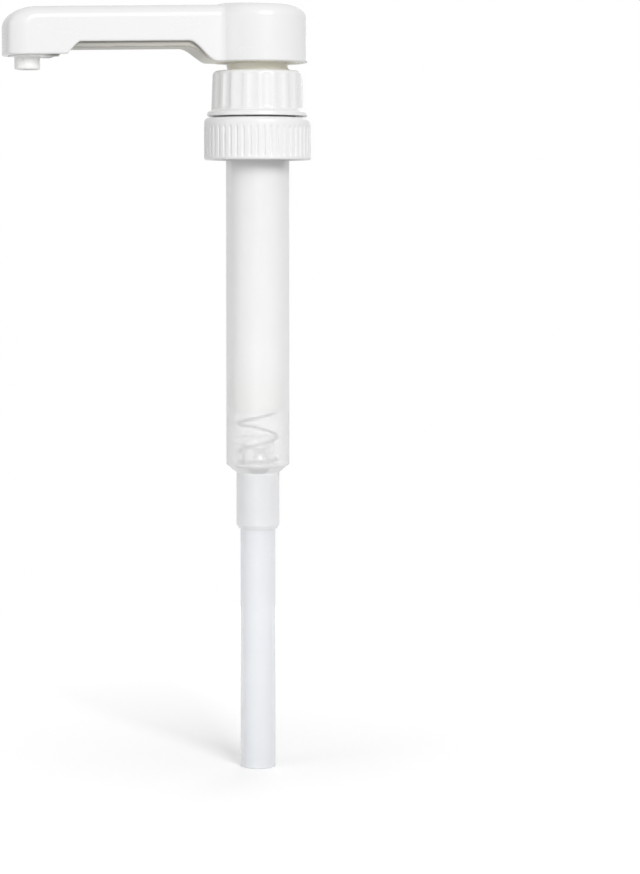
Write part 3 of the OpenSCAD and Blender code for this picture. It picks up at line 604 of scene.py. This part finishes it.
def grip_swell(wall_r, count, width, depth, foot, top, fade_foot, fade_top, phase=0.0):
    """Swell that cuts grooves into a round wall: at the distance s round the wall from a groove's
    middle it takes away depth * (1 - (2 s / width)^2), and it fades out at the groove's ends."""
    pitch = 2 * math.pi / count

    def swell(r, z, a):
        off = np.abs((a - math.radians(phase) + pitch / 2) % pitch - pitch / 2) * wall_r
        cut = np.clip(1 - (2 * off / width) ** 2, 0, 1)
        span = smooth_ramp((z - foot) / fade_foot) * smooth_ramp((top - z) / fade_top)
        return -depth * cut * span * (r > wall_r - 1.2)

    return swell


closure_plastic = grained_material("closure_plastic", (0.85, 0.85, 0.85), (0.835, 0.835, 0.835), 0.36)
cap_outline = rounded_outline([
    (cap_thread_r, cap_low[2], 0.3), (cap_r, cap_low[2], 0.8), (cap_r, cap_high[2], 2.0),
    (cap_bore_r, cap_high[2], 0.2), (cap_bore_r, cap_plate, 0.2), (cap_seal_r, cap_plate, 0.2),
    (cap_seal_r, 0.6, 0.2), (cap_thread_r, 0.0, 0.2)], step=0.5)
cap_thread = helix_ridge(cap_thread_r + 0.3, cap_thread_r - jug_thread_depth, cap_low[2] + 1.9,
                         jug_pitch, jug_turns, 2.2, 0.9)
cap_swell = grip_swell(cap_r, cap_ribs, cap_groove_w, cap_groove_depth, cap_groove_foot,
                       cap_groove_top, groove_fade_foot, cap_fade_top)
put_mesh("closure_ribbed", [turned(cap_outline, cap_ribs * 14, cap_swell), cap_thread], "closure",
         closure_plastic, ["closure_cap"])

# ---------------------------------------------------------------------------------------------
# Lock collar: the scalloped ring screwed onto the barrel's neck. It holds the bush down, its
# flange traps the closure, and its mouth is threaded for the head's lock boss.

collar_low, collar_high = box_mm("lock_collar")
collar_base_r, collar_top_r, collar_flange_r = 18.4, 17.8, 20.2
collar_mouth_r, collar_bore_r, collar_web_r = 13.2, 15.2, 11.2
collar_web_foot, collar_web_top = 17.2, 18.8
collar_flutes, collar_flute_w, collar_flute_depth, collar_phase = 20, 4.3, 0.5, 15.25
collar_fade_top, lock_crest_r, lock_pitch = 1.2, 12.45, 4.0
collar_plastic = grained_material("collar_plastic", (0.85, 0.847, 0.845), (0.835, 0.832, 0.83), 0.26)
collar_outline = rounded_outline([
    (collar_bore_r, collar_low[2], 0.2), (collar_flange_r, collar_low[2], 0.4),
    (collar_flange_r - 0.2, collar_low[2] + 1.6, 0.5), (collar_base_r, collar_low[2] + 2.4, 0.6),
    (collar_top_r, collar_high[2], 1.8), (collar_mouth_r + 0.8, collar_high[2], 0.2),
    (collar_mouth_r, collar_high[2] - 0.8, 0.2), (collar_mouth_r, collar_web_top, 0.1),
    (collar_web_r, collar_web_top, 0.1), (collar_web_r, collar_web_foot, 0.1),
    (collar_bore_r, collar_web_foot, 0.1)], step=0.6)
collar_grip = helix_ridge(collar_bore_r + 0.3, neck_root_r + 0.2, collar_low[2] + 2.9,
                          collar_pitch, 1.3, 1.6, 0.6)
collar_lock = helix_ridge(collar_mouth_r + 0.3, lock_crest_r, collar_web_top + 1.1,
                          lock_pitch, 0.55, 1.6, 0.7)
collar_swell = grip_swell((collar_base_r + collar_top_r) / 2, collar_flutes, collar_flute_w,
                          collar_flute_depth, collar_low[2] + 2.6, collar_high[2] - 0.6,
                          groove_fade_foot, collar_fade_top, phase=collar_phase)
collar_wall = turned(collar_outline, collar_flutes * 24, collar_swell)
put_mesh("lock_collar_fluted", [collar_wall, collar_grip, collar_lock],
         "pump_body", collar_plastic, ["lock_collar"])

# ---------------------------------------------------------------------------------------------
# Head shell: the glossy white lever, a round head and a long arm moulded as one shell that is
# open underneath. Its walls blend into one another by fillets that no single grid follows, so
# the surface is taken from a field: a formula that is negative inside the plastic.

head_low, head_high = box_mm("head_shell")
head_r, head_edge_r, head_wall, head_foot = 20.0, 5.2, 2.0, head_low[2]
arm_half, arm_edge_r, arm_end_x = 11.0, 4.6, -8.0
tip_x, tip_bow, tip_len, tip_roll_drop = -101.6, 1.0, 11.0, 7.5
arm_root_top, arm_fall = head_high[2] - 0.7, 2.4
block_foot, side_foot, foot_lean, block_x, block_run = 29.9, 34.7, 0.0245, -78.4, 5.0
sweep_end_x, sweep_run = -18.7, 11.8
crease_r, rim_r = 1.2, 0.7


def round_meet(a, b, r):
    """Common part of two fields, with the edge between them rounded to the radius r."""
    return np.minimum(np.maximum(a, b), -r) + np.hypot(np.maximum(a + r, 0), np.maximum(b + r, 0))


def round_join(a, b, r):
    """Union of two fields, with a fillet of the radius r in the corner between them."""
    return np.maximum(np.minimum(a, b), r) - np.hypot(np.maximum(r - a, 0), np.maximum(r - b, 0))


def stepped_foot(x, low, high, rise):
    """An arm's lower edge: low under the tip block, high along the span where rise is 1, both leaning
    up by foot_lean towards the head, and a half-cosine sweep down to the head's foot."""
    level = low + (high - low) * rise + foot_lean * (x - tip_x)
    sweep = (1 - np.cos(np.clip((x - sweep_end_x + sweep_run) / sweep_run, 0, 1) * math.pi)) / 2
    return level + (head_foot - level) * sweep


def foot_of_side(x):
    """Lower edge of the arm's wall, which leaves the tip block by a slope that eases off at its top."""
    rise = 1 - (1 - np.clip((x - block_x) / block_run, 0, 1)) ** 1.3
    return stepped_foot(x, block_foot, side_foot, rise)


def arm_field(x, y, z, inset):
    """The solid arm drawn in by inset: a bar whose top falls towards the tip and rolls over there as
    the ellipse quarter (x / len)^2 + (z / drop)^2 = 1 into a slightly bowed end, with its long edges
    and the end's corners rounded."""
    half = arm_half - inset
    top = arm_root_top - arm_fall * (-head_r - x) / (-head_r - tip_x) - inset
    along = (tip_x + inset + tip_bow * (y / half) ** 2 + tip_len - x) / tip_len
    roll = np.hypot(np.maximum(along, 0), np.maximum(1 + (z - top) / tip_roll_drop, 0)) - 1
    bar = round_meet(np.abs(y) - half, roll * tip_roll_drop, arm_edge_r - inset / 2)
    return np.maximum(bar, x - arm_end_x)


def head_field(x, y, z, inset):
    """The solid head drawn in by inset: a cylinder with a rounded top edge."""
    return round_meet(np.hypot(x, y) - head_r + inset, z - head_high[2] + inset, head_edge_r - inset)


def shell_field(x, y, z):
    """Arm and head joined by a soft crease, cut off along the foot, less the same two drawn in."""
    outer = round_join(arm_field(x, y, z, 0.0), head_field(x, y, z, 0.0), crease_r)
    outer = round_meet(outer, foot_of_side(x) - z, rim_r)
    inner = np.minimum(arm_field(x, y, z, head_wall), head_field(x, y, z, head_wall))
    return round_meet(outer, -inner, 0.3)


def slope(field, p, h=0.02):
    """Gradient of the field at the points p, by central differences."""
    steps = np.eye(3) * h
    return np.stack([field(*(p + s).T) - field(*(p - s).T) for s in steps], 1) / (2 * h)


def skin_of(field, low, high, step=0.5, passes=3):
    """Quads of about one step on the surface where the field is nought.

    Every cell of a grid whose corners differ in sign gets one point, and every grid edge that the
    surface crosses gets a quad between the four cells round it. The points start at the cells'
    middles, and each pass eases them towards their neighbours' mean and slides them down the
    slope g by f g / |g|^2. Returns the shell and its outward normals.
    """
    axes = [np.arange(a - 2 * step, b + 3 * step, step) for a, b in zip(low, high)]
    x, y, z = np.meshgrid(*axes, indexing="ij")
    inside = field(x, y, z) < 0
    cells = np.array(inside.shape)
    number = np.arange(inside.size).reshape(inside.shape)
    quads = []
    for axis in range(3):
        first = np.moveaxis(inside, axis, 0)
        label = np.moveaxis(number, axis, 0)
        crossed = first[:-1, 1:-1, 1:-1] != first[1:, 1:-1, 1:-1]
        leaving = first[:-1, 1:-1, 1:-1][crossed]
        round_edge = [label[:-1, 0:-2, 0:-2], label[:-1, 1:-1, 0:-2],
                      label[:-1, 1:-1, 1:-1], label[:-1, 0:-2, 1:-1]]
        ring = np.stack([part[crossed] for part in round_edge], 1)
        if axis == 1:
            leaving = ~leaving
        quads.append(np.where(leaving[:, None], ring, ring[:, ::-1]))
    quads = np.concatenate(quads)
    used, quads = np.unique(quads, return_inverse=True)
    quads = quads.reshape(-1, 4)
    corner = np.stack(np.unravel_index(used, cells), 1)
    points = np.stack([axes[k][corner[:, k]] + step / 2 for k in range(3)], 1)
    edges = np.concatenate([quads[:, [0, 1]], quads[:, [1, 2]], quads[:, [2, 3]], quads[:, [3, 0]]])
    edges = np.concatenate([edges, edges[:, ::-1]])
    degree = np.bincount(edges[:, 0], minlength=len(points))[:, None]
    for i in range(passes + 2):
        if 0 < i <= passes:
            sums = [np.bincount(edges[:, 0], points[edges[:, 1], k], len(points)) for k in range(3)]
            mean = np.stack(sums, 1)
            points = 0.5 * points + 0.5 * mean / degree
        for _ in range(2):
            g = slope(field, points)
            points = points - field(*points.T)[:, None] * g / np.maximum((g * g).sum(1), 0.05)[:, None]
    g = slope(field, points)
    return (points, quads), g / np.linalg.norm(g, axis=1)[:, None]


glossy_plastic = grained_material("glossy_plastic", (0.845, 0.845, 0.845), (0.835, 0.835, 0.835), 0.26,
                                  flow=18.0, grain=0.6, spread=0.06, bump=0.015, Specular_IOR_Level=0.32)
shell, shell_normals = skin_of(shell_field, head_low, head_high)
put_mesh("head_shell_gloss", [shell], "head", glossy_plastic, ["head_shell"], shell_normals)

# ---------------------------------------------------------------------------------------------
# Spout duct: the satin moulding snapped into the shell. One piece holds the stem's socket, the
# threaded lock boss, the flow channel and the nozzle. It is taken from a field as the shell is.

duct_low, duct_high = box_mm("spout_duct")
boss_foot, boss_r = duct_low[2], 12.1
lock_ridge_h, lock_ridge_w, lock_crest_w = 0.7, 1.6, 0.7
lock_turns, lock_start, lock_rise = 0.8, -114.0, 1.1
nozzle_x, nozzle_r, nozzle_bore_r, nozzle_foot = -92.4, 5.0, 3.5, 24.6
pad_foot, duct_foot, pad_end_x, pad_run = 29.6, 32.3, -82.4, 4.4
tray_half, tray_t, tray_rim_t, tray_rim_h, tray_end_x = 8.5, 2.0, 1.6, 5.0, -9.5
pad_centre_x, pad_r = -90.6, 8.4
channel_r, channel_tube_r, channel_end_x = 4.0, 5.4, -97.1
tower_r, tower_top, socket_top, chamber_top = 13.6, duct_high[2], 34.4, duct_high[2] - 1.6


def painted_light_and_shade_along_x(material, stops, reach=100.0):
    """Gives a moulded material the colours of stops, pairs of a distance in mm from the pump's axis
    along the spout and a colour. The duct is one plastic, so these colours are painted light and shade:
    the brighter, warmer stop on the boss is painted light in the shade under the head, and the darker
    stops along the span are painted shade in the recess inside the arm, which the soft studio light
    alone leaves too pale."""
    tree = material.node_tree
    place = tree.nodes.new("ShaderNodeTexCoord")
    parts = tree.nodes.new("ShaderNodeSeparateXYZ")
    ramp = tree.nodes.new("ShaderNodeValToRGB")
    tree.links.new(place.outputs["Object"], parts.inputs[0])
    tree.links.new(number_node(tree, "MULTIPLY", parts.outputs["X"], -1 / (reach * METRES)), ramp.inputs[0])
    marks = ramp.color_ramp.elements
    while len(marks) < len(stops):
        marks.new(1.0)
    for mark, (distance, colour) in zip(marks, stops):
        mark.position = distance / reach
        mark.color = (*colour, 1)
    skin = next(node for node in tree.nodes if node.type == "GROUP")
    for socket in ("Colour", "Flow colour"):
        tree.links.new(ramp.outputs["Color"], skin.inputs[socket])


def foot_of_duct(x):
    """Underside of the duct: level round the nozzle, then a smooth rise to the arm's lean."""
    run = stepped_foot(x, duct_foot, duct_foot, 1.0)
    return pad_foot + (run - pad_foot) * smooth_ramp((x - pad_end_x) / pad_run)


def pillar(x, y, z, radius, foot, top, edge=0.3):
    """An upright cylinder with rounded edges."""
    return round_meet(np.hypot(x, y) - radius, np.maximum(foot - z, z - top), edge)


def lock_ridge(x, y, z):
    """Height of the lock thread's ridge on the boss: a trapezium about the helix
    z = foot + rise + pitch (a - start) / 360 that fades out at both ends."""
    turn = (np.degrees(np.arctan2(y, x)) - lock_start) % 360 / 360
    off = np.abs(z - boss_foot - lock_rise - lock_pitch * turn)
    across = np.clip((lock_ridge_w / 2 - off) / (lock_ridge_w - lock_crest_w) * 2, 0, 1)
    return lock_ridge_h * across * smooth_ramp(turn * 12) * smooth_ramp((lock_turns - turn) * 12)


def duct_field(x, y, z):
    """Tray, rims, disc, channel tube, tower, boss and nozzle joined by fillets, less their bores."""
    foot, lean = foot_of_duct(x), foot_lean * (x - tip_x)
    channel_z = duct_foot + channel_tube_r + lean
    plan = np.minimum(np.maximum(np.abs(y) - tray_half, np.maximum(pad_centre_x - x, x)),
                      np.hypot(x - pad_centre_x, y) - pad_r)
    tray = round_meet(plan, np.maximum(foot - z, z - foot - tray_t), 0.5)
    rims = np.maximum(np.abs(np.abs(y) - tray_half + tray_rim_t / 2) - tray_rim_t / 2,
                      np.maximum(foot + 0.5 - z, z - duct_foot - lean - tray_t - tray_rim_h))
    rims = np.maximum(rims, np.maximum(pad_end_x - x, x - tray_end_x))
    solid = round_join(tray, rims, 0.4)
    solid = round_join(solid, pillar(x, y, z, head_r - head_wall - 0.15, head_foot, head_foot + tray_t), 0.5)
    tube = round_meet(np.hypot(y, z - channel_z) - channel_tube_r, np.maximum(channel_end_x - x, x), 0.3)
    solid = round_join(solid, tube, 0.5)
    solid = round_join(solid, pillar(x, y, z, tower_r, head_foot, tower_top), 0.5)
    boss = round_meet(np.hypot(x, y) - boss_r - lock_ridge(x, y, z),
                      np.maximum(boss_foot - z, z - head_foot - 0.5), 0.3)
    solid = round_join(solid, boss, 0.4)
    solid = round_join(solid, pillar(x - nozzle_x, y, z, nozzle_r, nozzle_foot, foot + 1.8, 0.7), 0.5)
    solid = round_join(solid, pillar(x - nozzle_x, y, z, nozzle_r - 0.5, nozzle_foot + 2, channel_z), 0.5)
    bores = np.maximum(np.hypot(x, y) - (stem_r + 0.02), z - socket_top)
    bores = np.minimum(bores, np.maximum(np.hypot(x, y) - stem_bore_r, z - chamber_top))
    bores = np.minimum(bores, np.maximum(np.hypot(y, z - channel_z) - channel_r, x))
    bores = np.minimum(bores, np.maximum(np.hypot(x - nozzle_x, y) - nozzle_bore_r, z - channel_z))
    return round_meet(solid, -bores, 0.3)


satin_plastic = grained_material("satin_plastic", (0.86, 0.84, 0.76), (0.83, 0.81, 0.73), 0.42)
# Painted light and shade in the duct's colour: brighter and warmer on the boss, painted shade darker along
# the span inside the arm, and its own pale colour at the nozzle.
painted_light_and_shade_along_x(satin_plastic, [(16, (0.95, 0.925, 0.82)), (24, (0.50, 0.485, 0.43)), (84, (0.38, 0.37, 0.34)),
                              (88, (0.92, 0.915, 0.90))])
duct, duct_normals = skin_of(duct_field, duct_low, duct_high)
put_mesh("spout_duct_moulding", [duct], "head", satin_plastic, ["spout_duct"], duct_normals)

paint_nodes(["duct_end_plug"], natural_plastic)
